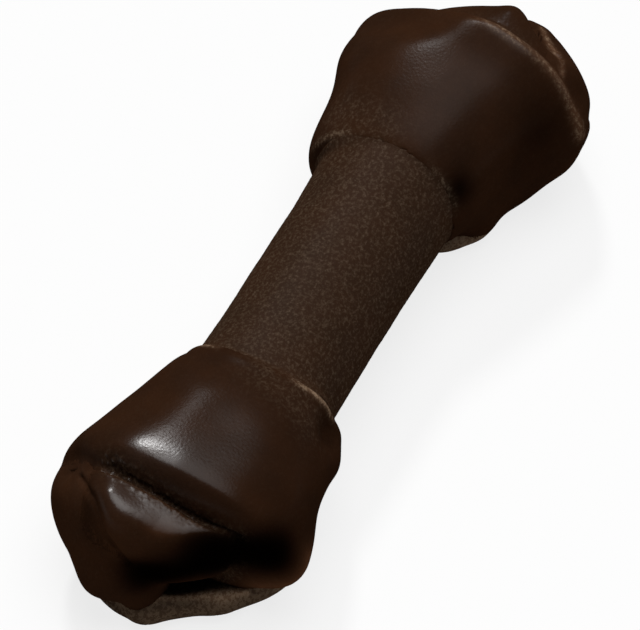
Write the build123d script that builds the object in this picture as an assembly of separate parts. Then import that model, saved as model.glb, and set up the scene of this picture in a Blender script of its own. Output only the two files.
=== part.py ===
from build123d import *
import os
from math import asin, cos, radians, sin, tan

# Rubber chew bone: a grained shaft with a folded knot at each end.
# Millimetres. X runs along the bone, Z is up, and the bone rests on Z = 0.
# A knot is drawn at the +X end. Its tail side is -Y and its loop side is +Y.
# Lengths along a knot start from its collar plane. Heights start from the bone's axis.

# Shaft
collar_spacing = 50.0
shaft_waist_diameter = 32.0
shaft_end_diameter = 33.0
seat_depth = 10.0
tenon_diameter = 21.0
tenon_length = 33.0
lock_groove_start = 15.0
lock_groove_width = 9.0
lock_groove_depth = 2.5
tenon_nose_radius = 4.0

# Main wrap: places along the knot, widths to each side and covers over the shaft
dome_start = 0.5
shoulder_at = 7.0
shoulder_tail_width = 18.2
shoulder_loop_width = 20.6
shoulder_cover = 0.1
shoulder_fullness = 0.715
middle_at = 18.0
middle_tail_width = 21.2
middle_loop_width = 22.2
middle_cover = 3.0
middle_crest = -1.0
flank_at = 29.0
flank_tail_width = 25.0
flank_loop_width = 25.8
flank_cover = 4.2
flank_crest = -2.0
flank_loop_sag = 0.5
belly_at = 38.0
belly_tail_width = 28.4
belly_loop_width = 26.0
belly_cover = 4.6
belly_crest = -3.0
belly_loop_sag = 2.5
tail_corner_fullness = 0.72
loop_corner_fullness = 0.73
wrap_sole_overlap = 3.0
wrap_end_at = 44.4
wrap_end_turn = 4.0
brow_radius = 4.0
brow_loop_cut = 8.0

# Sole, the fold under the knot
sole_drop = 13.0
sole_thickness = 7.0
sole_inset = 2.2
sole_edge_radius = 3.0
sole_heel_at = 7.0
sole_heel_corner_at = 10.0
sole_heel_width = 15.0
sole_tail_at = 42.0
sole_tail_corner_at = 51.3
sole_tail_corner_inset = 9.4
sole_toe_at = 58.5
sole_toe_offset = 6.0
sole_notch_at = 48.2
sole_notch_width = 12.2
sole_loop_corner_at = 40.5
sole_loop_corner_width = 20.2
rest_pad_depth = 0.4
rest_pad_margin = 5.0

# Tongue at the end of the knot
tongue_root_at = 38.0
tongue_nose_at = 57.6
tongue_level = 4.0
tongue_rise = 13.6
tongue_sole_overlap = 1.0
tongue_fullness = 0.8
tongue_crest_inset = 17.4
tongue_loop_inset = 7.0
tongue_tail_inset = 6.4
tongue_loop_end_length = 4.4
tongue_tail_end_length = 7.0
tongue_loop_end_rise = 4.6
tongue_tail_end_rise = 7.8
tongue_peg_diameter = 14.0
tongue_peg_depth = 8.0

# Tail, folded over the tongue at the corner of the end
tail_rise = 14.0
tail_top_reach = -1.0
tail_top_inset = 10.7
tail_foot_reach = 0.9
tail_foot_inset = 15.5
tail_back_length = 13.2
tail_lap_length = 17.5
tail_thickness = 21.0
tail_widest_level = -4.0
tail_crown = 0.4
tail_turn = 57.0
tail_fullness = 0.775

# Sections that each rounded stretch and each plain stretch is drawn through
round_sections = 4
flare_sections = 8
tongue_sections = 9
tail_sections = 6

collar_plane = collar_spacing / 2
axis_height = sole_drop + sole_thickness
wrap_drop = sole_drop + wrap_sole_overlap
tongue_drop = tongue_level + sole_drop + tongue_sole_overlap
tongue_loop_reach = belly_loop_width - tongue_loop_inset
tongue_tail_reach = belly_tail_width - tongue_tail_inset
tongue_offset = belly_tail_width - tongue_crest_inset
tail_top_offset = belly_tail_width - tail_top_inset
tail_foot_offset = belly_tail_width - tail_foot_inset
tail_top_at = wrap_end_at + tail_top_offset * tan(radians(wrap_end_turn)) + tail_top_reach
tail_foot_at = wrap_end_at + tail_foot_offset * tan(radians(wrap_end_turn)) + tail_foot_reach


def oval(place, left, right, rise, drop, left_fullness, right_fullness, sag=0.0, crest=0.0):
    """Closed section on a plane. Its fullness says how far its corners fill their boxes.
    It is highest at its crest, and widest at the plane's own level on the left and lower by its sag on the right."""
    corners = [(-left, 0), (crest, rise), (right, -sag), (crest, -drop)]
    turns = [(0, 1), (1, 0), (0, -1), (-1, 0)]
    boxes = [(-left, rise, 0), (right, rise, -sag), (right, -drop, -sag), (-left, -drop, 0)]
    fullness = [left_fullness, right_fullness, right_fullness, left_fullness]
    quarters = []
    for i, (side, height, level) in enumerate(boxes):
        ends = (corners[i], corners[(i + 1) % 4])
        full = (crest + (side - crest) * fullness[i], level + (height - level) * fullness[i])
        quarters.append(Spline(ends[0], full, ends[1], tangents=(turns[i], turns[(i + 1) % 4])))
    return place * Wire(quarters)


def across(at, turn=0.0):
    """Plane across the bone with +Y to its right, turned about the vertical."""
    place = Plane((collar_plane + at, 0, 0), x_dir=(0, 1, 0), z_dir=(1, 0, 0))
    return place.rotated((0, turn, 0))


def make_shaft():
    """Waisted bar with a full-width seat and a grooved tenon at each end."""
    waist = shaft_waist_diameter / 2
    end = shaft_end_diameter / 2
    tenon = tenon_diameter / 2
    seat = collar_plane + seat_depth
    groove = collar_plane + lock_groove_start
    groove_end = groove + lock_groove_width
    floor = tenon - lock_groove_depth
    nose = collar_plane + tenon_length
    side = ThreePointArc((-seat, end), (0, waist), (seat, end))
    steps = [(seat, end), (seat, tenon), (groove, tenon), (groove, floor)]
    steps += [(groove_end, floor), (groove_end, tenon), (nose - tenon_nose_radius, tenon)]
    right = Polyline(*steps)
    tip = RadiusArc(right @ 1, (nose, tenon - tenon_nose_radius), tenon_nose_radius)
    right = Wire([*right.edges(), tip, Line(tip @ 1, (nose, 0))])
    left = mirror(right, Plane.YZ)
    outline = Wire([side, *right.edges(), *left.edges(), Line((-nose, 0), (nose, 0))])
    return revolve(Face(outline), Axis.X)


def between(stations, at):
    """Section sizes at a place along the knot, on a smooth curve through the stations."""
    last = len(stations) - 2
    i = max(k for k in range(last + 1) if stations[k][0] <= at or k == 0)
    before, start, end, after = [stations[min(max(k, 0), last + 1)] for k in (i - 1, i, i + 1, i + 2)]
    span = end[0] - start[0]
    t = (at - start[0]) / span
    sizes = []
    for v0, v1, v2, v3 in list(zip(before, start, end, after))[1:]:
        m1 = (v2 - v0) / (end[0] - before[0]) * span
        m2 = (v3 - v1) / (after[0] - start[0]) * span
        rise, bend = v2 - v1, m1 + m2 - 2 * (v2 - v1)
        sizes.append(v1 + m1 * t + (rise - m1 - bend) * t**2 + bend * t**3)
    return sizes


def make_wrap_form():
    """Outer form of the main wrap: a dome around the shaft, a flare and a rounded brow."""
    over = shaft_end_diameter / 2
    round_corners = (shoulder_fullness, shoulder_fullness, 0.0, 0.0)
    full_corners = (tail_corner_fullness, loop_corner_fullness)
    shoulder = (shoulder_tail_width, shoulder_loop_width, over + shoulder_cover, wrap_drop, *round_corners)
    middle = (middle_tail_width, middle_loop_width, over + middle_cover, wrap_drop, *full_corners, 0.0, middle_crest)
    flank = (flank_tail_width, flank_loop_width, over + flank_cover, wrap_drop, *full_corners)
    flank += (flank_loop_sag, flank_crest)
    belly = (belly_tail_width, belly_loop_width, over + belly_cover, wrap_drop, *full_corners)
    belly += (belly_loop_sag, belly_crest)
    stations = [
        (shoulder_at, *shoulder),
        (middle_at, *middle),
        (flank_at, *flank),
        (belly_at, *belly),
        (wrap_end_at, *belly),
    ]
    brow_at = wrap_end_at - brow_radius
    dome_length = shoulder_at - dome_start
    sections = []
    for k in range(round_sections):
        angle = radians(90 * (k + 1) / (round_sections + 1))
        sizes = between(stations, shoulder_at)
        sizes[:4] = [sin(angle) * size for size in sizes[:4]]
        sections.append(oval(across(shoulder_at - dome_length * cos(angle)), *sizes))
    for k in range(flare_sections):
        share = k / (flare_sections - 1)
        at = shoulder_at + (brow_at - shoulder_at) * share
        sections.append(oval(across(at, wrap_end_turn * share), *between(stations, at)))
    for k in range(round_sections):
        angle = radians(90 * (k + 1) / round_sections)
        at = brow_at + brow_radius * sin(angle)
        inset = brow_radius * (1 - cos(angle))
        sizes = between(stations, at)
        sizes[:4] = [size - inset for size in sizes[:4]]
        sizes[1] -= brow_loop_cut * sin(angle) ** 2
        sections.append(oval(across(at, wrap_end_turn), *sizes))
    return Solid.make_loft(sections)


def make_sole_form():
    """Slab under the knot with a rounded edge all round and a flat straight-edged pad to rest on."""
    points = [
        (sole_heel_at, 0),
        (sole_heel_corner_at, -sole_heel_width),
        (middle_at, sole_inset - middle_tail_width),
        (sole_tail_at, sole_inset - belly_tail_width),
        (sole_tail_corner_at, sole_tail_corner_inset - belly_tail_width),
        (sole_toe_at, -sole_toe_offset),
        (sole_notch_at, sole_notch_width),
        (sole_loop_corner_at, sole_loop_corner_width),
        (flank_at, flank_loop_width - sole_inset),
        (middle_at, middle_loop_width - sole_inset),
        (sole_heel_corner_at, sole_heel_width),
    ]
    outline = Face(Wire([Spline(*points, periodic=True)]))
    slab = extrude(Pos(collar_plane, 0, rest_pad_depth - axis_height) * outline, sole_thickness - rest_pad_depth)
    rim = slab.edges().group_by(Axis.Z)
    rounded = fillet(rim[0] + rim[-1], sole_edge_radius)
    heel = sole_heel_corner_at + rest_pad_margin
    heel_side = sole_heel_width - rest_pad_margin
    rest_corners = [
        (heel, -heel_side),
        (sole_tail_at, sole_inset + rest_pad_margin - belly_tail_width),
        (sole_toe_at - rest_pad_margin, -sole_toe_offset),
        (sole_loop_corner_at, sole_loop_corner_width - rest_pad_margin),
        (heel, heel_side),
    ]
    rest_face = Face(Wire.make_polygon(rest_corners))
    rest_pad = extrude(Pos(collar_plane, 0, -axis_height) * rest_face, sole_thickness / 2)
    return rounded + rest_pad


def make_tongue_form():
    """Pillow across the end of the bone, fullest at its nose."""
    full_length = tongue_nose_at - tongue_root_at
    sections = []
    for k in range(tongue_sections):
        side = (tongue_loop_reach + tongue_tail_reach) * k / (tongue_sections - 1) - tongue_tail_reach
        if side < -tongue_offset:
            end_length, end_rise, end = tongue_tail_end_length, tongue_tail_end_rise, -tongue_tail_reach
        else:
            end_length, end_rise, end = tongue_loop_end_length, tongue_loop_end_rise, tongue_loop_reach
        share = (side + tongue_offset) / (end + tongue_offset)
        length = full_length - (full_length - end_length) * share**2
        rise = tongue_rise - (tongue_rise - end_rise) * share**2
        drop = tongue_drop * rise / tongue_rise
        middle = (collar_plane + tongue_root_at, side, tongue_level)
        place = Plane(middle, x_dir=(1, 0, 0), z_dir=(0, -1, 0))
        sections.append(oval(place, length / 2, length, rise, drop, tongue_fullness, tongue_fullness))
    return Solid.make_loft(sections)


def make_tail_form():
    """Leaning flap of oval section that closes to a rounded top."""
    foot = -sole_drop - sole_edge_radius
    crown = tail_rise + tail_crown
    height = crown - tail_widest_level
    first = asin((foot - tail_widest_level) / height)
    last = asin((tail_rise - tail_widest_level) / height)
    sections = []
    for k in range(tail_sections):
        angle = first + (last - first) * k / (tail_sections - 1)
        level = tail_widest_level + height * sin(angle)
        share = (level - foot) / (tail_rise - foot)
        at = tail_foot_at + (tail_top_at - tail_foot_at) * share
        offset = tail_foot_offset + (tail_top_offset - tail_foot_offset) * share
        place = Plane((collar_plane + at, -offset, level)) * Rot(0, 0, tail_turn)
        back = tail_back_length * cos(angle)
        lap = tail_lap_length * cos(angle)
        short = tail_thickness / 2 * cos(angle)
        sections.append(oval(place, back, lap, short, short, tail_fullness, tail_fullness))
    return Solid.make_loft(sections)


def make_knot(shaft):
    """The four pieces of one knot, each cut to lie against its neighbours."""
    wrap_form = make_wrap_form()
    sole_form = make_sole_form()
    tongue_form = make_tongue_form()
    tail_form = make_tail_form()
    wrap_end = across(wrap_end_at, wrap_end_turn)
    peg = extrude(wrap_end * Circle(tongue_peg_diameter / 2), -tongue_peg_depth)
    sole = sole_form - shaft
    wrap = wrap_form - shaft - sole_form - peg
    tail = tail_form - wrap_form - sole_form
    tongue = (tongue_form - wrap_form - sole_form - tail_form) + peg
    return {"wrap": wrap, "sole": sole, "tongue": tongue, "tail": tail}


os.makedirs("parts", exist_ok=True)
lift = Pos(0, 0, axis_height)
shaft = make_shaft()
export_step(lift * shaft, "parts/shaft.step")
for name, piece in make_knot(shaft).items():
    export_step(lift * piece, f"parts/rear_{name}.step")
    export_step(lift * Rot(0, 0, 180) * piece, f"parts/front_{name}.step")
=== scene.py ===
"""Looks of a knotted rubber chew bone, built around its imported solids."""

from math import cos, radians, sin
from typing import NamedTuple

import bpy
import numpy as np
from bpy.props import FloatProperty, FloatVectorProperty, IntProperty, PointerProperty
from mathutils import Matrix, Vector, noise
from mathutils.bvhtree import BVHTree


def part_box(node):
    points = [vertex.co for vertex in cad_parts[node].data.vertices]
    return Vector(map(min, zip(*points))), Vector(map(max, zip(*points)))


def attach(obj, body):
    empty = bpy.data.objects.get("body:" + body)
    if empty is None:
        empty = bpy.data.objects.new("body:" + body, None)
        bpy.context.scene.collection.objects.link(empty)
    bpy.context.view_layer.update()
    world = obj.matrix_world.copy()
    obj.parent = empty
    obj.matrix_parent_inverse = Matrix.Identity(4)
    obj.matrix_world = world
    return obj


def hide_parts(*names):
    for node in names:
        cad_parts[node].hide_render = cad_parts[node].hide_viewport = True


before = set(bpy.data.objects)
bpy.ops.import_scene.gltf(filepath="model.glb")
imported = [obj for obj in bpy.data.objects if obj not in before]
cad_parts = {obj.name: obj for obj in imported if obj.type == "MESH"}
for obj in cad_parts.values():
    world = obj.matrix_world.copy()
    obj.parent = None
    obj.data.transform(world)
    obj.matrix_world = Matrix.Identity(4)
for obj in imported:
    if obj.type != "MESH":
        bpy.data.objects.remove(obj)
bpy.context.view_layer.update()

bl_info = {
    "name": "Knotted Chew Bone",
    "version": (1, 0, 0),
    "blender": (4, 5, 0),
    "location": "View3D > Sidebar > Chew Bone",
    "description": "Softens and grains the solids of a rubber chew bone and sets a studio around it",
    "category": "Add Mesh",
}

MM = 0.001
SIDES = {"front": -1.0, "rear": 1.0}
shaft_low, shaft_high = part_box("shaft")
AXIS_HEIGHT = (shaft_low.z + shaft_high.z) / 2
COLLAR_PLANE = 25 * MM
SEED_STEPS = (7.3, 3.1, 5.7)
PEBBLE_SEED, STIPPLE_SEED, SWAY_SEED = 1, 3, 4


class ChewBoneShape(bpy.types.PropertyGroup):
    """Sizes of the softened meshes and of their folds."""

    mesh_step: FloatProperty(
        name="Mesh Step", description="Size of the faces of the knots", default=0.38 * MM,
        unit="LENGTH", precision=5
    )
    shaft_step: FloatProperty(
        name="Shaft Step", description="Size of the faces of the shaft", default=0.34 * MM,
        unit="LENGTH", precision=5
    )
    form_step: FloatProperty(
        name="Form Step", description="Size of the faces of the soft skin", default=0.5 * MM,
        unit="LENGTH", precision=5
    )
    soften_rounds: IntProperty(
        name="Soften Rounds", description="How often the folds' edges are smoothed", default=32, min=1
    )
    seam_lap: FloatProperty(
        name="Seam Lap", description="How far the pieces lap over their seams", default=0.4 * MM,
        unit="LENGTH", precision=5
    )
    sway_height: FloatProperty(
        name="Sway Height", description="Height of the slow waves in the moulded folds", default=0.25 * MM,
        unit="LENGTH", precision=5
    )
    sway_size: FloatProperty(
        name="Sway Size", description="Size of the slow waves in the moulded folds", default=11.0 * MM,
        unit="LENGTH", precision=5
    )
    stipple_height: FloatProperty(
        name="Stipple Height", description="Height of the grains along a crease", default=0.60 * MM,
        unit="LENGTH", precision=5
    )
    stipple_size: FloatProperty(
        name="Stipple Size", description="Size of the grains along a crease", default=1.1 * MM,
        unit="LENGTH", precision=5
    )
    stipple_reach: FloatProperty(
        name="Stipple Reach", description="How far the grains reach from a crease", default=2.5 * MM,
        unit="LENGTH", precision=5
    )
    rim_height: FloatProperty(
        name="Rim Height", description="Height of the lip where a knot meets the shaft", default=0.30 * MM,
        unit="LENGTH", precision=5
    )
    crest_height: FloatProperty(
        name="Crest Height", description="Height of the ridge along the front tongue", default=3.0 * MM,
        unit="LENGTH", precision=5
    )
    pebble_height: FloatProperty(
        name="Pebble Height", description="Height of the pebbles on the shaft", default=0.06 * MM,
        unit="LENGTH", precision=5
    )
    pebble_size: FloatProperty(
        name="Pebble Size", description="Size of the pebbles on the shaft", default=1.0 * MM,
        unit="LENGTH", precision=5
    )


class ChewBoneFinish(bpy.types.PropertyGroup):
    """Colours of the rubber."""

    shaft_colour: FloatVectorProperty(
        name="Shaft Colour", description="Rubber of the shaft", subtype="COLOR", size=3,
        default=(0.0240, 0.0107, 0.0053)
    )
    speck_colour: FloatVectorProperty(
        name="Speck Colour", description="Pale specks in the rubber", subtype="COLOR", size=3,
        default=(0.100, 0.067, 0.043)
    )
    knot_colour: FloatVectorProperty(
        name="Knot Colour", description="Rubber of the knots", subtype="COLOR", size=3,
        default=(0.0215, 0.0092, 0.0046)
    )
    warm_colour: FloatVectorProperty(
        name="Warm Colour", description="Redder patches of the rubber", subtype="COLOR", size=3,
        default=(0.030, 0.0118, 0.0052)
    )


class ChewBoneStage(bpy.types.PropertyGroup):
    """Floor, light and camera of the studio."""

    floor_colour: FloatVectorProperty(
        name="Floor Colour", description="Paint of the floor", subtype="COLOR", size=3,
        default=(0.93, 0.93, 0.93)
    )
    key_strength: FloatProperty(
        name="Key Strength", description="Light of the lamp behind the bone", default=1.7
    )
    key_direction: FloatVectorProperty(
        name="Key Direction", description="Way from the bone to the lamp behind it", size=3, subtype="XYZ",
        default=(0.58, 0.44, 0.69)
    )
    key_angle: FloatProperty(
        name="Key Angle", description="Apparent size of the lamp behind the bone", default=radians(9),
        subtype="ANGLE"
    )
    top_strength: FloatProperty(
        name="Top Strength", description="Light of the wide overhead panel", default=1.75
    )
    top_direction: FloatVectorProperty(
        name="Top Direction", description="Way from the bone to the overhead panel", size=3, subtype="XYZ",
        default=(0.20, -0.05, 0.98)
    )
    top_angle: FloatProperty(
        name="Top Angle", description="Apparent size of the overhead panel", default=radians(50),
        subtype="ANGLE"
    )
    room_strength: FloatProperty(name="Room Strength", description="Light of the dim room", default=0.06)
    camera_azimuth: FloatProperty(
        name="Camera Azimuth", description="Turn of the camera about the bone", default=radians(-62.3),
        subtype="ANGLE"
    )
    camera_elevation: FloatProperty(
        name="Camera Elevation", description="Height of the camera over the floor", default=radians(55.6),
        subtype="ANGLE"
    )
    camera_distance: FloatProperty(
        name="Camera Distance", description="From the camera to the bone", default=1.28, unit="LENGTH"
    )
    camera_lens: FloatProperty(name="Camera Lens", description="Focal length", default=331.0, unit="CAMERA")
    camera_aim: FloatVectorProperty(
        name="Camera Aim", description="Point in the middle of the image", size=3, subtype="XYZ",
        default=(-0.00378, -0.00086, 0.01743), precision=5
    )


# Places in a knot in millimetres: along from its collar, across towards its loop side, up from the axis

CREASE = [
    (44.7, -13.7, 17.8), (45.7, -7.0, 17.8), (45.7, -0.8, 16.4), (45.5, 5.2, 14.7), (45.2, 10.7, 12.6),
    (44.3, 15.9, 10.0), (44.1, 17.4, 2.9), (45.7, 15.1, -1.0), (43.8, 11.7, -9.5),
]
TONGUE_CREST = [
    (53.0, -10.0, 15.5), (54.5, -4.0, 14.0), (54.5, 1.0, 12.0), (52.5, 7.0, 10.5), (49.0, 12.5, 9.0),
]
TAIL_CREASE = [
    (48.2, -20.6, 12.5), (52.7, -14.5, 14.7), (55.7, -9.8, 12.2), (56.9, -6.2, 7.8), (56.7, -3.8, 2.6),
]
WRAP_SHINE = [(40.5, -9.0, 20.5), (40.0, -6.0, 21.0), (39.5, -3.0, 21.0)]
TONGUE_STREAK = [(50.0, -7.0, 16.5), (49.5, 1.0, 15.0), (49.0, 5.5, 13.5), (47.0, 11.0, 11.0)]
TONGUE_FRONT = [(55.0, -7.0, 12.0), (56.0, -2.0, 10.0), (53.0, 4.0, 10.0)]
LOBE_LINE = [(56.0, -13.0, 10.5), (53.5, -16.5, 10.5), (49.5, -19.0, 12.0), (44.0, -23.0, 12.5)]
WRAP_ROLL = [(39.0, -18.0, 17.5), (39.0, -9.0, 20.5), (38.0, 2.0, 20.5), (37.0, 12.0, 18.0)]
WRAP_HAZE = [(38.0, 6.0, 20.0), (27.0, 7.0, 19.5)]
RIM_SPECKS = [(9.6, 3.9, 17.1), (10.4, 9.1, 16.0), (12.5, 16.2, 12.3)]
WRAP_EDGE = [
    (42.0, 2.7, 20.8), (43.3, -4.5, 20.8), (42.3, -12.4, 19.8), (41.9, -19.4, 16.6), (41.2, -23.3, 13.6),
    (40.2, -26.3, 9.5), (38.8, -28.0, 5.0), (38.0, -28.2, 2.0),
]
# HOLLOW is where shade is painted, nearly black, under the front tongue; CORNER_GLOW is where bounce light
# is painted on the front wrap's lower loop side
HOLLOW = [(55.0, 1.0, 0.0), (51.0, 8.5, 4.0), (45.5, 15.5, 4.0), (43.0, 22.0, 6.0)]
CORNER_GLOW = [(42.0, 20.0, -9.0), (40.0, 24.0, -6.0), (36.0, 26.0, -4.0)]

# Paths along a sole, as seen from above

UNDER_TONGUE = [(53.0, -3.0), (48.0, 4.0), (41.0, 13.0)]
SOLE_LINE = [(54.5, -1.0), (51.0, 4.5), (46.0, 12.5), (42.5, 16.5)]
SOLE_BAND = {
    "front": [(56.0, -4.0), (53.0, 5.0), (45.0, 16.0), (38.0, 22.0)],
    "rear": [(8.0, -13.0), (14.0, -17.0), (20.0, -19.0)],
}

# Soft round spots in millimetres: place, radius, and how far the knot is fuller or slimmer than its solid

SWELLINGS = {
    "front": [
        ((12.0, -14.0, 13.0), 4.0, 0.8), ((17.0, -14.5, 14.5), 6.0, 1.3), ((25.0, -20.5, 11.5), 7.0, 0.5),
        ((33.5, -20.5, 14.0), 7.0, 0.5), ((40.0, -23.0, 13.5), 4.0, 0.9), ((46.0, -23.5, 12.0), 5.5, -1.9),
        ((46.5, -26.0, 8.5), 4.0, -1.2), ((57.5, -15.5, -1.5), 6.0, 1.2), ((59.5, -10.0, -6.0), 5.0, 2.4),
        ((56.5, -1.0, -15.0), 5.0, 2.0), ((58.0, -6.5, -15.0), 3.5, -1.6), ((47.0, 12.5, -14.0), 6.0, 1.8),
        ((7.5, 19.5, 3.0), 4.0, -1.2), ((9.5, 20.0, 6.5), 4.5, -2.0), ((12.5, 21.5, -1.5), 5.0, 1.8),
        ((19.0, 22.5, 3.0), 6.0, 1.5), ((24.0, 25.0, -4.0), 6.0, -0.5), ((36.0, 26.0, -4.0), 6.0, 2.0),
        ((55.5, -12.5, 12.0), 3.5, -0.8), ((57.0, -9.0, 8.5), 3.0, -0.8), ((37.5, -13.0, 19.5), 6.0, 0.3),
    ],
    "rear": [
        ((41.0, -28.5, 1.5), 5.0, 2.6), ((37.0, -27.0, -6.0), 6.0, 1.4), ((32.5, -26.5, -3.0), 7.0, 2.4),
        ((29.0, -21.0, -13.0), 8.0, 1.5), ((16.0, -17.0, -14.0), 5.0, 2.0), ((54.5, -12.5, 14.0), 5.0, -2.6),
        ((53.0, -15.5, 13.0), 4.0, -1.8), ((50.0, -16.0, 15.0), 4.5, -1.5), ((52.5, -7.5, 16.0), 4.0, 1.8),
        ((33.0, 22.0, 11.5), 6.0, 0.6), ((25.5, 24.5, 0.0), 6.0, -1.0), ((13.5, 21.0, -1.0), 6.0, 0.8),
        ((38.0, 17.0, 15.5), 5.0, -1.0), ((39.0, 12.0, 18.5), 6.0, -1.6), ((41.0, 6.0, 20.5), 5.0, -0.9),
        ((47.0, -25.0, 6.0), 6.0, -0.6),
    ],
}

# Soft round spots of polish and of painted shade: place and radius in millimetres, and strength

TONGUE_SHINE = [((50.0, -7.0, 16.5), 4.0, 1.0)]
REAR_PAINTED_SHADE = [((30.9, -24.2, 8.0), 10.0, 0.5), ((8.0, -16.0, 9.0), 4.5, 0.8)]


class Mark(NamedTuple):
    """A soft mark along a path: its width in millimetres, and its height in millimetres or its strength."""

    path: list
    width: float
    amount: float


# Lines that stand out of a knot or sink into it

KNOT_RELIEF = {
    "front": [Mark(CREASE, width=1.1, amount=-0.7), Mark(TAIL_CREASE, width=0.9, amount=-0.8)],
    "rear": [Mark(CREASE, width=1.1, amount=-0.2), Mark(TAIL_CREASE, width=0.9, amount=-0.8)],
}
SOLE_RELIEF = [Mark(SOLE_LINE, width=0.8, amount=0.5), Mark(UNDER_TONGUE, width=3.5, amount=-0.8)]
FRONT_ROLL = [Mark(WRAP_ROLL, width=6.0, amount=0.4)]
FRONT_PUSH = [Mark(TONGUE_FRONT, width=5.0, amount=2.0)]

# Lines of polish, pale specks, and painted light and shade

FRONT_SHINE = [
    Mark(WRAP_SHINE, width=2.4, amount=1.0),
    Mark(WRAP_SHINE, width=6.0, amount=0.25),
    Mark(TONGUE_STREAK, width=3.2, amount=0.6),
]
FRONT_HAZE = [Mark(WRAP_HAZE, width=8.0, amount=0.25)]
RIM_DUST = [Mark(RIM_SPECKS, width=5.0, amount=0.6)]
# Painted bounce light on the front wrap's lower corner, and painted light on the front tongue's front face
FRONT_PAINTED_LIGHT = [Mark(CORNER_GLOW, width=3.5, amount=2.5), Mark(TONGUE_FRONT, width=4.5, amount=0.6)]
# A painted highlight along the front sole's line, and painted shade under the front tongue
SOLE_PAINTED_HIGHLIGHT = {"front": [Mark(SOLE_LINE, width=0.7, amount=2.5)], "rear": []}
SOLE_PAINTED_SHADE = [Mark(UNDER_TONGUE, width=4.5, amount=0.9)]


# Mesh helpers


def get_points(mesh):
    """Vertex places as rows."""
    points = np.empty(len(mesh.vertices) * 3)
    mesh.vertices.foreach_get("co", points)
    return points.reshape(-1, 3)


def get_normals(mesh):
    """Vertex normals as rows."""
    normals = np.empty(len(mesh.vertices) * 3, np.float32)
    mesh.vertex_normals.foreach_get("vector", normals)
    return normals.reshape(-1, 3).astype(float)


def set_points(mesh, points):
    """Moves the vertices to new places."""
    mesh.vertices.foreach_set("co", points.astype(np.float32).ravel())
    mesh.update()


def set_mask(mesh, name, values):
    """Keeps one value per vertex under a name that a material can read."""
    layer = mesh.attributes.new(name, "FLOAT", "POINT")
    layer.data.foreach_set("value", values.astype(np.float32))


def remeshed(source, step, rounds):
    """A new even mesh around a mesh, its edges smoothed."""
    holder = bpy.data.objects.new("holder", source)
    bpy.context.scene.collection.objects.link(holder)
    even = holder.modifiers.new("even", "REMESH")
    even.mode = "VOXEL"
    even.voxel_size = step
    smooth = holder.modifiers.new("soft", "SMOOTH")
    smooth.factor = 0.5
    smooth.iterations = rounds
    graph = bpy.context.evaluated_depsgraph_get()
    mesh = bpy.data.meshes.new_from_object(holder.evaluated_get(graph))
    mesh.materials.clear()
    bpy.data.objects.remove(holder)
    return mesh


def even_piece(node, step):
    """An even mesh of one solid, with its flanks as moulded."""
    mesh = remeshed(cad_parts[node].data.copy(), step, 1)
    side, _, kind = node.partition("_")
    if kind in FLANKS:
        points = get_points(mesh)
        set_points(mesh, points + FLANKS[kind](knot_places(points, side)) @ knot_axes(side) * MM)
    return mesh


def moulded_form(shape):
    """All the solids in one soft skin, as the rubber leaves its mould."""
    known = bpy.data.meshes.get("moulded form")
    if known:
        return known
    corners, faces = [], []
    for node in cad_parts:
        mesh = even_piece(node, shape.form_step)
        first = sum(len(part) for part in corners)
        corners.append(get_points(mesh))
        faces.extend([first + corner for corner in face.vertices] for face in mesh.polygons)
    joined = bpy.data.meshes.new("joined")
    joined.from_pydata(np.concatenate(corners).tolist(), [], faces)
    form = remeshed(joined, shape.form_step, shape.soften_rounds)
    form.name = "moulded form"
    return form


def on_form(shape, points):
    """The nearest place on the soft skin, the skin's normal there and how far off it is."""
    form = moulded_form(shape)
    tree = BVHTree.FromPolygons([v.co for v in form.vertices], [f.vertices for f in form.polygons])
    normals = get_normals(form)
    corners = [list(face.vertices) for face in form.polygons]
    skin, outward, gaps = np.empty_like(points), np.empty_like(points), np.empty(len(points))
    for i, p in enumerate(points):
        place, _, face, gap = tree.find_nearest(Vector(p))
        skin[i], outward[i], gaps[i] = place, normals[corners[face]].mean(0), gap
    outward /= np.linalg.norm(outward, axis=1)[:, None]
    return skin, outward, gaps


def seed_offset(seed):
    """Where in the noise a seed starts."""
    return Vector([seed * step for step in SEED_STEPS])


def wave(points, size, seed):
    """Slow noise between -1 and 1 at each point."""
    offset = seed_offset(seed)
    return np.array([noise.noise(Vector(p) / size + offset) for p in points])


def grains(points, size, seed):
    """Rounded grains: 1 at the middle of a grain and 0 between grains."""
    steepness = 1.6
    offset = seed_offset(seed)
    heights = np.empty(len(points))
    for i, p in enumerate(points):
        gaps = noise.voronoi(Vector(p) / size + offset)[0]
        heights[i] = gaps[1] - gaps[0]
    return np.clip(heights * steepness, 0, 1)


def fade(values, start, end):
    """Smooth step from 0 at start to 1 at end."""
    t = np.clip((values - start) / (end - start), 0, 1)
    return t * t * (3 - 2 * t)


def bell(values, middle, width):
    """1 at the middle, fading to 0 over a width to both sides."""
    return np.exp(-(((values - middle) / width) ** 2))


def knot_places(points, side):
    """Places along, across and up in a knot, in millimetres."""
    sign = SIDES[side]
    along = (sign * points[:, 0] - COLLAR_PLANE) / MM
    return np.stack([along, sign * points[:, 1] / MM, (points[:, 2] - AXIS_HEIGHT) / MM], 1)


def knot_axes(side):
    """Directions along, across and up in a knot, as rows."""
    return np.diag([SIDES[side], SIDES[side], 1.0])


def lower_wrap_flanks(places):
    """Moves that bring the sides of a wrap down to its sole."""
    tail_drop, loop_drop, lowest = 7.0, 0.8, -18.6
    along, across, up = places.T
    drop = fade(-across, start=6, end=16) * tail_drop + fade(across, start=9, end=19) * loop_drop
    drop = drop * fade(-up, start=0, end=11) * fade(along, start=8, end=18)
    still = np.zeros_like(drop)
    return np.stack([still, still, np.maximum(-drop, np.minimum(lowest - up, 0))], 1)


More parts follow.
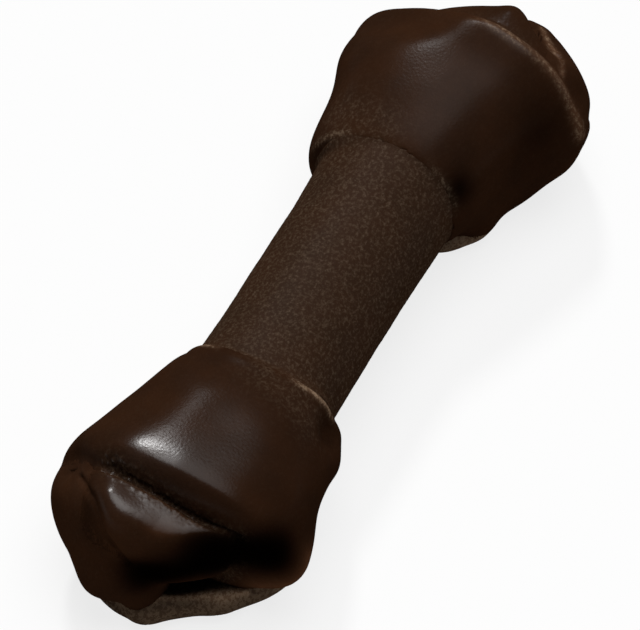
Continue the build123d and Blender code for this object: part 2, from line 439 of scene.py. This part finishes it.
def narrow_sole_flank(places):
    """Moves that draw a sole in under the tail side of its wrap."""
    full_shift = 3.2
    along, across, _ = places.T
    shift = fade(-across, start=3, end=20) * fade(along, start=14, end=24)
    shift = shift * (1 - fade(along, start=42, end=54)) * full_shift
    still = np.zeros_like(shift)
    return np.stack([still, shift, still], 1)


FLANKS = {"wrap": lower_wrap_flanks, "sole": narrow_sole_flank}


def path_distance(places, path):
    """Distance from a path, in millimetres. A path without heights is taken as seen from above."""
    stops = np.array(path)
    places = places[:, : stops.shape[1]]
    closest = np.full(len(places), np.inf)
    for start, end in zip(stops[:-1], stops[1:]):
        span = end - start
        share = np.clip((places - start) @ span / (span @ span), 0, 1)
        closest = np.minimum(closest, np.linalg.norm(places - start - share[:, None] * span, axis=1))
    return closest


def near_path(places, path, width):
    """1 on a path, fading to 0 over a width to its sides and past its ends."""
    return bell(path_distance(places, path), 0, width)


def drawn(places, marks):
    """The sum of some marks at each place."""
    return sum(mark.amount * near_path(places, mark.path, mark.width) for mark in marks)


def near_place(places, place, radius):
    """1 at one place, fading to 0 over a radius around it."""
    return np.exp(-(((places - place) ** 2).sum(1) / radius**2))


def dotted(places, spots):
    """The sum of some round spots at each place."""
    return sum(amount * near_place(places, place, radius) for place, radius, amount in spots)


def finish_piece(piece, node, material):
    """Gives a piece its material, slot and body, and hides the solid that it stands for."""
    piece.data.materials.append(material)
    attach(piece, "root")
    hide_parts(node)


# Materials

# Sockets of a node that mixes colours, by number because their names repeat

FACTOR, COLOUR_A, COLOUR_B = 0, 6, 7
MIXED_COLOUR = 2

# How much pale film lies between the specks, and a mix that is all of its second colour

FILM_SHARE = 0.08
FULL_SHARE = 1.0


def socket_name(key):
    """The name of a socket, from the plain word for it in a call."""
    return key.replace("_", " ").title()


def new_group(name, inputs, outputs):
    """An empty shader group with named sockets."""
    group = bpy.data.node_groups.new(name, "ShaderNodeTree")
    for label, kind, value in inputs:
        socket = group.interface.new_socket(label, in_out="INPUT", socket_type=kind)
        socket.default_value = value
    for label, kind in outputs:
        group.interface.new_socket(label, in_out="OUTPUT", socket_type=kind)
    return group, group.nodes.new("NodeGroupInput"), group.nodes.new("NodeGroupOutput")


def add(tree, kind, **values):
    """A new node with its settings and unlinked socket values."""
    node = tree.nodes.new(kind)
    for key, value in values.items():
        if hasattr(node, key):
            setattr(node, key, value)
        else:
            node.inputs[socket_name(key)].default_value = value
    return node


def mottle_group():
    """Slow drift between two rubber colours, in object space."""
    colour, value = "NodeSocketColor", "NodeSocketFloat"
    plain_brown = (0.03, 0.02, 0.01, 1)
    group, start, end = new_group(
        "Rubber Mottle",
        [("Colour", colour, plain_brown), ("Patch Colour", colour, plain_brown),
         ("Patch Scale", value, 60.0), ("Patch Share", value, 0.5)],
        [("Colour", colour)],
    )
    place = add(group, "ShaderNodeTexCoord")
    patches = add(group, "ShaderNodeTexNoise", detail=3.0, roughness=0.6)
    contrast = add(group, "ShaderNodeMapRange", from_min=0.35, from_max=0.65)
    share = add(group, "ShaderNodeMath", operation="MULTIPLY")
    mix = add(group, "ShaderNodeMix", data_type="RGBA")
    links = group.links
    links.new(place.outputs["Object"], patches.inputs["Vector"])
    links.new(start.outputs["Patch Scale"], patches.inputs["Scale"])
    links.new(patches.outputs["Fac"], contrast.inputs["Value"])
    links.new(contrast.outputs["Result"], share.inputs[0])
    links.new(start.outputs["Patch Share"], share.inputs[1])
    links.new(share.outputs[0], mix.inputs[FACTOR])
    links.new(start.outputs["Colour"], mix.inputs[COLOUR_A])
    links.new(start.outputs["Patch Colour"], mix.inputs[COLOUR_B])
    links.new(mix.outputs[MIXED_COLOUR], end.inputs["Colour"])
    return group


def grain_group():
    """Fine pebbled grain: its height, and a mask of the pale specks."""
    value = "NodeSocketFloat"
    group, start, end = new_group(
        "Rubber Grain",
        [("Grain Scale", value, 1500.0), ("Speck Scale", value, 900.0), ("Speck Share", value, 0.4)],
        [("Height", value), ("Speck", value)],
    )
    place = add(group, "ShaderNodeTexCoord")
    cells = add(group, "ShaderNodeTexVoronoi", feature="SMOOTH_F1")
    fine = add(group, "ShaderNodeTexNoise", detail=2.0)
    # The pattern of the pale specks, which also breaks up the pale colour painted as highlights and bounce
    # light
    specks_and_glow = add(group, "ShaderNodeTexNoise", detail=4.0, roughness=0.75)
    height = add(group, "ShaderNodeMath", operation="SUBTRACT")
    cut = add(group, "ShaderNodeMapRange", from_min=0.48, from_max=0.70)
    share = add(group, "ShaderNodeMath", operation="MULTIPLY")
    links = group.links
    for texture in (cells, fine, specks_and_glow):
        links.new(place.outputs["Object"], texture.inputs["Vector"])
    links.new(start.outputs["Grain Scale"], cells.inputs["Scale"])
    links.new(start.outputs["Grain Scale"], fine.inputs["Scale"])
    links.new(start.outputs["Speck Scale"], specks_and_glow.inputs["Scale"])
    links.new(fine.outputs["Fac"], height.inputs[0])
    links.new(cells.outputs["Distance"], height.inputs[1])
    links.new(height.outputs[0], end.inputs["Height"])
    links.new(specks_and_glow.outputs["Fac"], cut.inputs["Value"])
    links.new(cut.outputs["Result"], share.inputs[0])
    links.new(start.outputs["Speck Share"], share.inputs[1])
    links.new(share.outputs[0], end.inputs["Speck"])
    return group


def place_group(tree, group, **values):
    """A group's node in a material, with its own values."""
    node = tree.nodes.new("ShaderNodeGroup")
    node.node_tree = group
    for key, value in values.items():
        node.inputs[socket_name(key)].default_value = value
    return node


def shared_group(name, make):
    """The group of that name, built once."""
    return bpy.data.node_groups.get(name) or make()


def opaque(colour):
    """A colour with full alpha."""
    return (*colour, 1.0)


def rubber_material(name, finish, colour, coat_roughness, bump, grain_scale, speck_scale, speck_share):
    """Rubber with drifting colour, fine grain, pale specks, painted light and shade, and a polish that fades
    towards its outlines.
    """
    known = bpy.data.materials.get(name)
    if known:
        return known
    material = bpy.data.materials.new(name)
    material.use_nodes = True
    tree = material.node_tree
    shader = tree.nodes["Principled BSDF"]
    shader.inputs["Specular IOR Level"].default_value = 0.0
    shader.inputs["Coat Roughness"].default_value = coat_roughness
    mottle = place_group(
        tree, shared_group("Rubber Mottle", mottle_group), colour=opaque(colour),
        patch_colour=opaque(finish.warm_colour), patch_scale=70.0, patch_share=0.8
    )
    grain = place_group(
        tree, shared_group("Rubber Grain", grain_group), grain_scale=grain_scale, speck_scale=speck_scale,
        speck_share=speck_share
    )
    crease = add(tree, "ShaderNodeAttribute", attribute_name="crease")
    polish = add(tree, "ShaderNodeAttribute", attribute_name="polish")
    # How much pale colour shows: real specks, and pale colour painted as highlights and bounce light
    specks_and_glow = add(tree, "ShaderNodeAttribute", attribute_name="specks_and_glow")
    # Painted light and shade, which multiplies the colour
    shade = add(tree, "ShaderNodeAttribute", attribute_name="shade")
    film = add(tree, "ShaderNodeMath", operation="ADD")
    film.inputs[1].default_value = FILM_SHARE
    specks_and_glow_share = add(tree, "ShaderNodeMath", operation="MULTIPLY")
    shaded = add(tree, "ShaderNodeMix", data_type="RGBA", blend_type="MULTIPLY")
    shaded.inputs[FACTOR].default_value = FULL_SHARE
    specks = add(tree, "ShaderNodeMix", data_type="RGBA")
    specks.inputs[COLOUR_B].default_value = opaque(finish.speck_colour)
    dullness = add(tree, "ShaderNodeMapRange", to_min=0.55, to_max=0.70)
    facing = add(tree, "ShaderNodeLayerWeight", blend=0.5)
    turned_to_eye = add(tree, "ShaderNodeMapRange", from_min=0.25, from_max=0.55, to_min=1.0, to_max=0.06)
    gloss = add(tree, "ShaderNodeMath", operation="MULTIPLY")
    relief = add(tree, "ShaderNodeBump", strength=bump, distance=0.15 * MM)
    links = tree.links
    links.new(mottle.outputs["Colour"], specks.inputs[COLOUR_A])
    links.new(grain.outputs["Speck"], film.inputs[0])
    links.new(film.outputs[0], specks_and_glow_share.inputs[0])
    links.new(specks_and_glow.outputs["Fac"], specks_and_glow_share.inputs[1])
    links.new(specks_and_glow_share.outputs[0], specks.inputs[FACTOR])
    links.new(specks.outputs[MIXED_COLOUR], shaded.inputs[COLOUR_A])
    links.new(shade.outputs["Fac"], shaded.inputs[COLOUR_B])
    links.new(shaded.outputs[MIXED_COLOUR], shader.inputs["Base Color"])
    links.new(crease.outputs["Fac"], dullness.inputs["Value"])
    links.new(dullness.outputs["Result"], shader.inputs["Roughness"])
    links.new(facing.outputs["Facing"], turned_to_eye.inputs["Value"])
    links.new(turned_to_eye.outputs["Result"], gloss.inputs[0])
    links.new(polish.outputs["Fac"], gloss.inputs[1])
    links.new(gloss.outputs[0], shader.inputs["Coat Weight"])
    links.new(grain.outputs["Height"], relief.inputs["Height"])
    links.new(relief.outputs["Normal"], shader.inputs["Normal"])
    links.new(relief.outputs["Normal"], shader.inputs["Coat Normal"])
    return material


def knot_material(finish):
    """Satin rubber of the knots."""
    return rubber_material(
        "knot rubber", finish, finish.knot_colour, coat_roughness=0.30, bump=0.16,
        grain_scale=1700.0, speck_scale=1100.0, speck_share=0.80
    )


def shaft_material(finish):
    """Matte speckled rubber of the shaft."""
    return rubber_material(
        "shaft rubber", finish, finish.shaft_colour, coat_roughness=0.55, bump=0.35,
        grain_scale=1700.0, speck_scale=1250.0, speck_share=0.65
    )


# Pieces

# What differs between the knots, as shares of the sharper one

GRAIN_SHARE = {"front": 1.0, "rear": 0.15}
LIP_SHARE = {"front": 1.0, "rear": 0.4}
RIM_SHARE = {"front": 1.0, "rear": 0.3}

# Sizes of a knot's rim, edges and ends in millimetres, and shares of a groove's or a grain's height

RIM_START = 3.6
RIM_LEAN = 3.4
GROOVE_SHARE = 0.7
EDGE_HEIGHT = 0.5
REAR_END_HEIGHT = 0.8
ROLL_DROP = 2.2
CREST_WIDTH = 4.5
CREST_GAIN = 1.0
BAND_WIDTH = 6.0
HOLLOW_WIDTH = 7.5
PEBBLE_LEVEL = 0.5
STIPPLE_LEVEL = 0.4

# Polish, pale specks, and painted light and shade of the rubber, where 0 is none and 1 is full or plain

SHAFT_POLISH = 0.06
FRONT_POLISH = 0.05
REAR_POLISH = 0.12
REAR_END_WEAR = 0.8
EDGE_POLISH = 0.35
LOBE_POLISH = 0.3
RIM_WEAR = 0.8
CREASE_WEAR = 0.8
GRAIN_POLISH = 0.5
FOLD_DUST = 0.06
CREASE_DUST = 0.9
LIP_PAINTED_HIGHLIGHT_SPECKS = 5.0
BAND_PAINTED_BOUNCE_SPECKS = 6.0
HOLLOW_PAINTED_SHADE = 0.97
LIP_PAINTED_HIGHLIGHT = 1.2
EDGE_PAINTED_HIGHLIGHT = 1.2
LOBE_PAINTED_HIGHLIGHT = 1.5
REAR_PAINTED_LIGHT = 1.15
TAIL_PAINTED_LIGHT = 1.4
BAND_PAINTED_BOUNCE = 0.9


def build_piece(context, node, step, sculpt, material):
    """One solid drawn to the soft skin, with its own folds, grain and masks on top."""
    shape = context.scene.chew_bone_shape
    mesh = even_piece(node, step)
    points = get_points(mesh) + get_normals(mesh) * shape.seam_lap
    skin, normals, gaps = on_form(shape, points)
    outer = 1 - fade(gaps, start=1.4 * MM, end=2.6 * MM)
    turned = 1 - fade((get_normals(mesh) * normals).sum(1), start=0.2, end=0.7)
    moves, masks = sculpt(shape, node, skin, normals)
    moves -= normals * (turned * shape.seam_lap)[:, None]
    moves *= (outer * fade(skin[:, 2], start=1 * MM, end=4 * MM))[:, None]
    set_points(mesh, points + (skin - points) * outer[:, None] + moves)
    for name, values in masks.items():
        set_mask(mesh, name, values)
    mesh.shade_smooth()
    piece = bpy.data.objects.new(node + "_piece", mesh)
    bpy.context.scene.collection.objects.link(piece)
    finish_piece(piece, node, material(context.scene.chew_bone_finish))


def rim_past(places):
    """How far a place is past the rim of its knot, in millimetres."""
    along, across, up = places.T
    return along - RIM_START - RIM_LEAN * np.clip(up / np.maximum(np.hypot(across, up), 1), 0, 1)


def rim_lift(shape, past, side):
    """The lip of a knot and the groove before it, worn down on the rear knot."""
    lip = bell(past, middle=1.0, width=1.6)
    groove = bell(past, middle=-0.8, width=0.9)
    return shape.rim_height * RIM_SHARE[side] * (lip - GROOVE_SHARE * groove)


def sculpt_shaft(shape, node, skin, normals):
    """Pebbles all over, a groove before each knot, and the ends sunk under the knots' lips."""
    lift = (grains(skin, shape.pebble_size, PEBBLE_SEED) - PEBBLE_LEVEL) * shape.pebble_height
    lift += wave(skin, shape.sway_size, SWAY_SEED) * shape.sway_height
    for side in SIDES:
        past = rim_past(knot_places(skin, side))
        lift += rim_lift(shape, past, side) - shape.seam_lap * fade(past, start=-0.2, end=0.8)
    flat = np.ones(len(skin))
    masks = {"crease": flat * 0, "polish": flat * SHAFT_POLISH, "specks_and_glow": flat, "shade": flat}
    return normals * lift[:, None], masks


class Fold:
    """The skin of one fold in its knot, and the lines that its heights and its looks share."""

    def __init__(self, shape, node, skin):
        self.side, _, self.kind = node.partition("_")
        self.front = self.side == "front"
        self.places = places = knot_places(skin, self.side)
        self.along, self.across, self.up = places.T
        self.past = rim_past(places)
        self.grain = grains(skin, shape.stipple_size, STIPPLE_SEED)
        self.grainy = GRAIN_SHARE[self.side] * near_path(places, CREASE, shape.stipple_reach / MM)
        # The lip's painted highlight, drawn in pale colour and pale specks
        self.lip = LIP_SHARE[self.side] * bell(self.past, middle=0.5, width=0.8)
        self.lip *= fade(np.abs(self.across), start=7, end=14) * fade(self.up, start=2, end=9)
        self.edge = self.lobe = self.band = np.zeros(len(places))
        # The rear knot's wrap edge and lobe line: highlights painted along them in pale colour, besides
        # polish and, on the edge, a raised line
        if not self.front:
            self.edge = near_path(places, WRAP_EDGE, width=1.3) * (1 - fade(self.across, start=-8, end=2))
            self.lobe = near_path(places, LOBE_LINE, width=0.8)
        # The sole's band: bounce light painted on it in pale colour and pale specks
        if self.kind == "sole":
            self.band = near_path(places, SOLE_BAND[self.side], BAND_WIDTH)


def fold_lift(shape, fold, skin):
    """How far a fold stands out of its skin: its lines, swellings, grains, slow waves and rim."""
    lift = EDGE_HEIGHT * fold.edge + drawn(fold.places, KNOT_RELIEF[fold.side])
    lift += dotted(fold.places, SWELLINGS[fold.side])
    if not fold.front:
        lift += REAR_END_HEIGHT * fade(fold.along, start=44, end=50) * fade(-fold.across, start=8, end=16)
    if fold.kind == "sole":
        lift += drawn(fold.places, SOLE_RELIEF)
    lift *= MM
    lift += (fold.grain - STIPPLE_LEVEL) * shape.stipple_height * fold.grainy
    lift += wave(skin, shape.sway_size, SWAY_SEED) * shape.sway_height
    lift += rim_lift(shape, fold.past, fold.side)
    return lift - shape.seam_lap * (1 - fade(fold.past, start=-1.0, end=-0.2))


def front_moves(shape, fold):
    """Moves that roll the front wrap down to its crease and fill out the front tongue, up and endwise."""
    rolled = fade(fold.along, start=40.8, end=46.0) * (1 - fade(fold.along, start=46.0, end=47.5))
    rolled *= fade(fold.across, start=-20, end=-13) * (1 - fade(fold.across, start=12, end=19))
    rolled *= fade(fold.up, start=8, end=14)
    crest = shape.crest_height / MM + CREST_GAIN * fade(fold.across, start=-4, end=11)
    crest *= near_path(fold.places, TONGUE_CREST, CREST_WIDTH)
    moves = np.zeros_like(fold.places)
    moves[:, 0] = SIDES["front"] * drawn(fold.places, FRONT_PUSH)
    moves[:, 2] = drawn(fold.places, FRONT_ROLL) + crest - ROLL_DROP * rolled
    return moves * MM


def fold_shade(fold):
    """Painted light and shade, multiplied into the colour: painted shade in the hollows, painted highlights
    on the lip, edges and lobe line, painted bounce light on the sole's band, and the rear knot and front
    tail painted lighter.
    """
    if fold.front:
        # Painted shade, nearly black, in the hollow under the front tongue
        hollow = np.exp(-((path_distance(fold.places, HOLLOW) / HOLLOW_WIDTH) ** 4))
        shade = 1 - HOLLOW_PAINTED_SHADE * hollow + LIP_PAINTED_HIGHLIGHT * fold.lip + drawn(fold.places, FRONT_PAINTED_LIGHT)
    else:
        # The rear knot painted lighter all over, with painted shade on its dark flank and in the pocket by
        # its rim
        shade = np.full(len(fold.places), REAR_PAINTED_LIGHT)
        for place, radius, dark in REAR_PAINTED_SHADE:
            shade *= 1 - dark * near_place(fold.places, place, radius)
        shade += EDGE_PAINTED_HIGHLIGHT * fold.edge + LOBE_PAINTED_HIGHLIGHT * fold.lobe
    # The front tail painted lighter, as if lit
    if fold.front and fold.kind == "tail":
        shade *= TAIL_PAINTED_LIGHT
    # Painted shade under the front tongue, painted bounce light on the band, and a painted highlight along
    # the sole's line
    if fold.kind == "sole":
        shade *= (1 - drawn(fold.places, SOLE_PAINTED_SHADE)) * (1 + BAND_PAINTED_BOUNCE * fold.band)
        shade += drawn(fold.places, SOLE_PAINTED_HIGHLIGHT[fold.side])
    return shade


def fold_polish(fold, upward, shade):
    """How glossy the rubber is: on its worn tops, less by the rim and the crease, and on the grains."""
    if fold.front:
        polish = FRONT_POLISH + drawn(fold.places, FRONT_SHINE) + dotted(fold.places, TONGUE_SHINE)
        polish += drawn(fold.places, FRONT_HAZE) * fade(fold.across, start=-6, end=3)
    else:
        polish = REAR_POLISH * (1 - REAR_END_WEAR * fade(fold.along, start=29, end=38))
        polish += EDGE_POLISH * fold.edge + LOBE_POLISH * fold.lobe
    polish *= (1 - RIM_WEAR * bell(fold.past, middle=0, width=4)) * (1 - CREASE_WEAR * fold.grainy)
    polish *= fade(upward, start=0.35, end=0.8)
    grain_tops = fold.grainy * fade(fold.grain, start=0.3, end=0.8)
    polish += GRAIN_POLISH * grain_tops * fade(upward, start=0.2, end=0.7)
    return np.clip(polish * np.clip(shade, 0, 1), 0, 1)


def fold_specks_and_glow(fold):
    """How much pale colour shows: real pale specks, most along the crease and by the rim, and pale colour
    painted as highlights on the lip and rear edges and as bounce light on the sole's band.
    """
    specks_and_glow = FOLD_DUST + CREASE_DUST * fold.grainy + drawn(fold.places, RIM_DUST)
    return specks_and_glow + LIP_PAINTED_HIGHLIGHT_SPECKS * fold.lip + fold.edge + fold.lobe + BAND_PAINTED_BOUNCE_SPECKS * fold.band


def sculpt_fold(shape, node, skin, normals):
    """The rolled creases of a knot, grainy at their bottom, and its worn tops."""
    fold = Fold(shape, node, skin)
    moves = normals * fold_lift(shape, fold, skin)[:, None]
    if fold.front:
        moves += front_moves(shape, fold)
    shade = fold_shade(fold)
    masks = {
        "crease": fold.grainy,
        "polish": fold_polish(fold, normals[:, 2], shade),
        "specks_and_glow": fold_specks_and_glow(fold),
        "shade": shade,
    }
    return moves, masks


class CHEWBONE_OT_shaft(bpy.types.Operator):
    """Builds the grained shaft."""

    bl_idname = "chewbone.shaft"
    bl_label = "Build Shaft"

    def execute(self, context):
        step = context.scene.chew_bone_shape.shaft_step
        build_piece(context, "shaft", step, sculpt_shaft, shaft_material)
        return {"FINISHED"}


def build_folds(context, kind):
    """The fold of one kind in each knot."""
    step = context.scene.chew_bone_shape.mesh_step
    for side in SIDES:
        build_piece(context, f"{side}_{kind}", step, sculpt_fold, knot_material)


class CHEWBONE_OT_wraps(bpy.types.Operator):
    """Builds the main wrap of each knot."""

    bl_idname = "chewbone.wraps"
    bl_label = "Build Wraps"

    def execute(self, context):
        build_folds(context, "wrap")
        return {"FINISHED"}


class CHEWBONE_OT_tongues(bpy.types.Operator):
    """Builds the tongue of each knot."""

    bl_idname = "chewbone.tongues"
    bl_label = "Build Tongues"

    def execute(self, context):
        build_folds(context, "tongue")
        return {"FINISHED"}


class CHEWBONE_OT_tails(bpy.types.Operator):
    """Builds the tail flap of each knot."""

    bl_idname = "chewbone.tails"
    bl_label = "Build Tails"

    def execute(self, context):
        build_folds(context, "tail")
        return {"FINISHED"}


class CHEWBONE_OT_soles(bpy.types.Operator):
    """Builds the fold under each knot."""

    bl_idname = "chewbone.soles"
    bl_label = "Build Soles"

    def execute(self, context):
        build_folds(context, "sole")
        return {"FINISHED"}


# Stage

FLOOR_HALF = 4.0
PAINT_DRIFT = 1.01
BOUNCE_SHARE = 0.8
GLOW_SHARE = 0.8


def tinted(colour, share):
    """A colour made lighter or darker, with full alpha."""
    return opaque([channel * share for channel in colour])


def floor_material(colour):
    """Near-white matte paint, faintly uneven, which glows to the eye and bounces a little less light."""
    material = bpy.data.materials.new("studio floor")
    material.use_nodes = True
    tree = material.node_tree
    shader = tree.nodes["Principled BSDF"]
    shader.inputs["Roughness"].default_value = 0.9
    shader.inputs["Specular IOR Level"].default_value = 0.0
    drift = add(tree, "ShaderNodeTexNoise", detail=2.0, scale=1.5)
    paint = add(tree, "ShaderNodeMix", data_type="RGBA")
    paint.inputs[COLOUR_A].default_value = opaque(colour)
    paint.inputs[COLOUR_B].default_value = tinted(colour, PAINT_DRIFT)
    path = add(tree, "ShaderNodeLightPath")
    seen = add(tree, "ShaderNodeMath", operation="ADD")
    shown = add(tree, "ShaderNodeMath", operation="ADD", use_clamp=True)
    card = add(tree, "ShaderNodeMix", data_type="RGBA")
    card.inputs[COLOUR_A].default_value = tinted(colour, BOUNCE_SHARE)
    glow = add(tree, "ShaderNodeEmission")
    white = add(tree, "ShaderNodeMath", operation="MULTIPLY")
    white.inputs[1].default_value = GLOW_SHARE
    blend = add(tree, "ShaderNodeMixShader")
    tree.links.new(drift.outputs["Fac"], paint.inputs[FACTOR])
    tree.links.new(path.outputs["Is Camera Ray"], seen.inputs[0])
    tree.links.new(path.outputs["Is Glossy Ray"], seen.inputs[1])
    tree.links.new(seen.outputs[0], shown.inputs[0])
    tree.links.new(path.outputs["Is Transmission Ray"], shown.inputs[1])
    tree.links.new(shown.outputs[0], card.inputs[FACTOR])
    tree.links.new(paint.outputs[MIXED_COLOUR], card.inputs[COLOUR_B])
    tree.links.new(card.outputs[MIXED_COLOUR], shader.inputs["Base Color"])
    tree.links.new(shown.outputs[0], white.inputs[0])
    tree.links.new(white.outputs[0], blend.inputs[0])
    tree.links.new(shader.outputs[0], blend.inputs[1])
    tree.links.new(glow.outputs[0], blend.inputs[2])
    tree.links.new(blend.outputs[0], tree.nodes["Material Output"].inputs["Surface"])
    return material


def make_floor(stage):
    """A wide flat floor under the bone."""
    corners = [(x * FLOOR_HALF, y * FLOOR_HALF, 0) for x, y in ((-1, -1), (1, -1), (1, 1), (-1, 1))]
    mesh = bpy.data.meshes.new("floor")
    mesh.from_pydata(corners, [], [(0, 1, 2, 3)])
    floor = bpy.data.objects.new("floor", mesh)
    bpy.context.scene.collection.objects.link(floor)
    mesh.materials.append(floor_material(stage.floor_colour))


def make_world(stage):
    """Dim room."""
    world = bpy.data.worlds.new("studio")
    bpy.context.scene.world = world
    world.use_nodes = True
    background = world.node_tree.nodes["Background"]
    background.inputs["Strength"].default_value = stage.room_strength
    background.inputs["Color"].default_value = (1, 1, 1, 1)


def make_lamp(name, direction, strength, angle):
    """A soft lamp far away in a direction."""
    data = bpy.data.lights.new(name, "SUN")
    data.energy = strength
    data.angle = angle
    lamp = bpy.data.objects.new(name, data)
    lamp.rotation_mode = "QUATERNION"
    lamp.rotation_quaternion = Vector(direction).to_track_quat("Z", "Y")
    bpy.context.scene.collection.objects.link(lamp)


def make_camera(stage):
    """Camera at the photo's angle."""
    azimuth, elevation = stage.camera_azimuth, stage.camera_elevation
    back = Vector((sin(azimuth) * cos(elevation), -cos(azimuth) * cos(elevation), sin(elevation)))
    data = bpy.data.cameras.new("camera")
    data.lens = stage.camera_lens
    data.sensor_width = 36.0
    camera = bpy.data.objects.new("camera", data)
    camera.location = Vector(stage.camera_aim) + back * stage.camera_distance
    camera.rotation_mode = "QUATERNION"
    camera.rotation_quaternion = back.to_track_quat("Z", "Y")
    bpy.context.scene.collection.objects.link(camera)
    bpy.context.scene.camera = camera


class CHEWBONE_OT_stage(bpy.types.Operator):
    """Sets the floor, the light and the camera."""

    bl_idname = "chewbone.stage"
    bl_label = "Set Stage"

    def execute(self, context):
        stage = context.scene.chew_bone_stage
        context.scene.view_settings.view_transform = "Standard"
        make_floor(stage)
        make_world(stage)
        make_lamp("key lamp", stage.key_direction, stage.key_strength, stage.key_angle)
        make_lamp("overhead panel", stage.top_direction, stage.top_strength, stage.top_angle)
        make_camera(stage)
        return {"FINISHED"}


class CHEWBONE_PT_panel(bpy.types.Panel):
    """Lists the steps that build the bone."""

    bl_idname = "CHEWBONE_PT_panel"
    bl_label = "Chew Bone"
    bl_space_type = "VIEW_3D"
    bl_region_type = "UI"
    bl_category = "Chew Bone"

    def draw(self, context):
        for step in STEPS:
            self.layout.operator(step.bl_idname)
        for name in SETTINGS:
            group = getattr(context.scene, name)
            for key in group.bl_rna.properties.keys():
                if key not in ("rna_type", "name"):
                    self.layout.prop(group, key)


SETTINGS = {
    "chew_bone_shape": ChewBoneShape,
    "chew_bone_finish": ChewBoneFinish,
    "chew_bone_stage": ChewBoneStage,
}
STEPS = [
    CHEWBONE_OT_shaft,
    CHEWBONE_OT_wraps,
    CHEWBONE_OT_tongues,
    CHEWBONE_OT_tails,
    CHEWBONE_OT_soles,
    CHEWBONE_OT_stage,
]


def register():
    """Adds the settings, steps and panel to Blender."""
    for kind in [*SETTINGS.values(), *STEPS, CHEWBONE_PT_panel]:
        bpy.utils.register_class(kind)
    for name, kind in SETTINGS.items():
        setattr(bpy.types.Scene, name, PointerProperty(type=kind))


def unregister():
    """Takes them out again."""
    for name in SETTINGS:
        delattr(bpy.types.Scene, name)
    for kind in reversed([*SETTINGS.values(), *STEPS, CHEWBONE_PT_panel]):
        bpy.utils.unregister_class(kind)


def main():
    """Builds the whole bone and its studio."""
    register()
    bpy.ops.chewbone.shaft()
    bpy.ops.chewbone.wraps()
    bpy.ops.chewbone.tongues()
    bpy.ops.chewbone.tails()
    bpy.ops.chewbone.soles()
    bpy.ops.chewbone.stage()


if __name__ == "__main__":
    main()
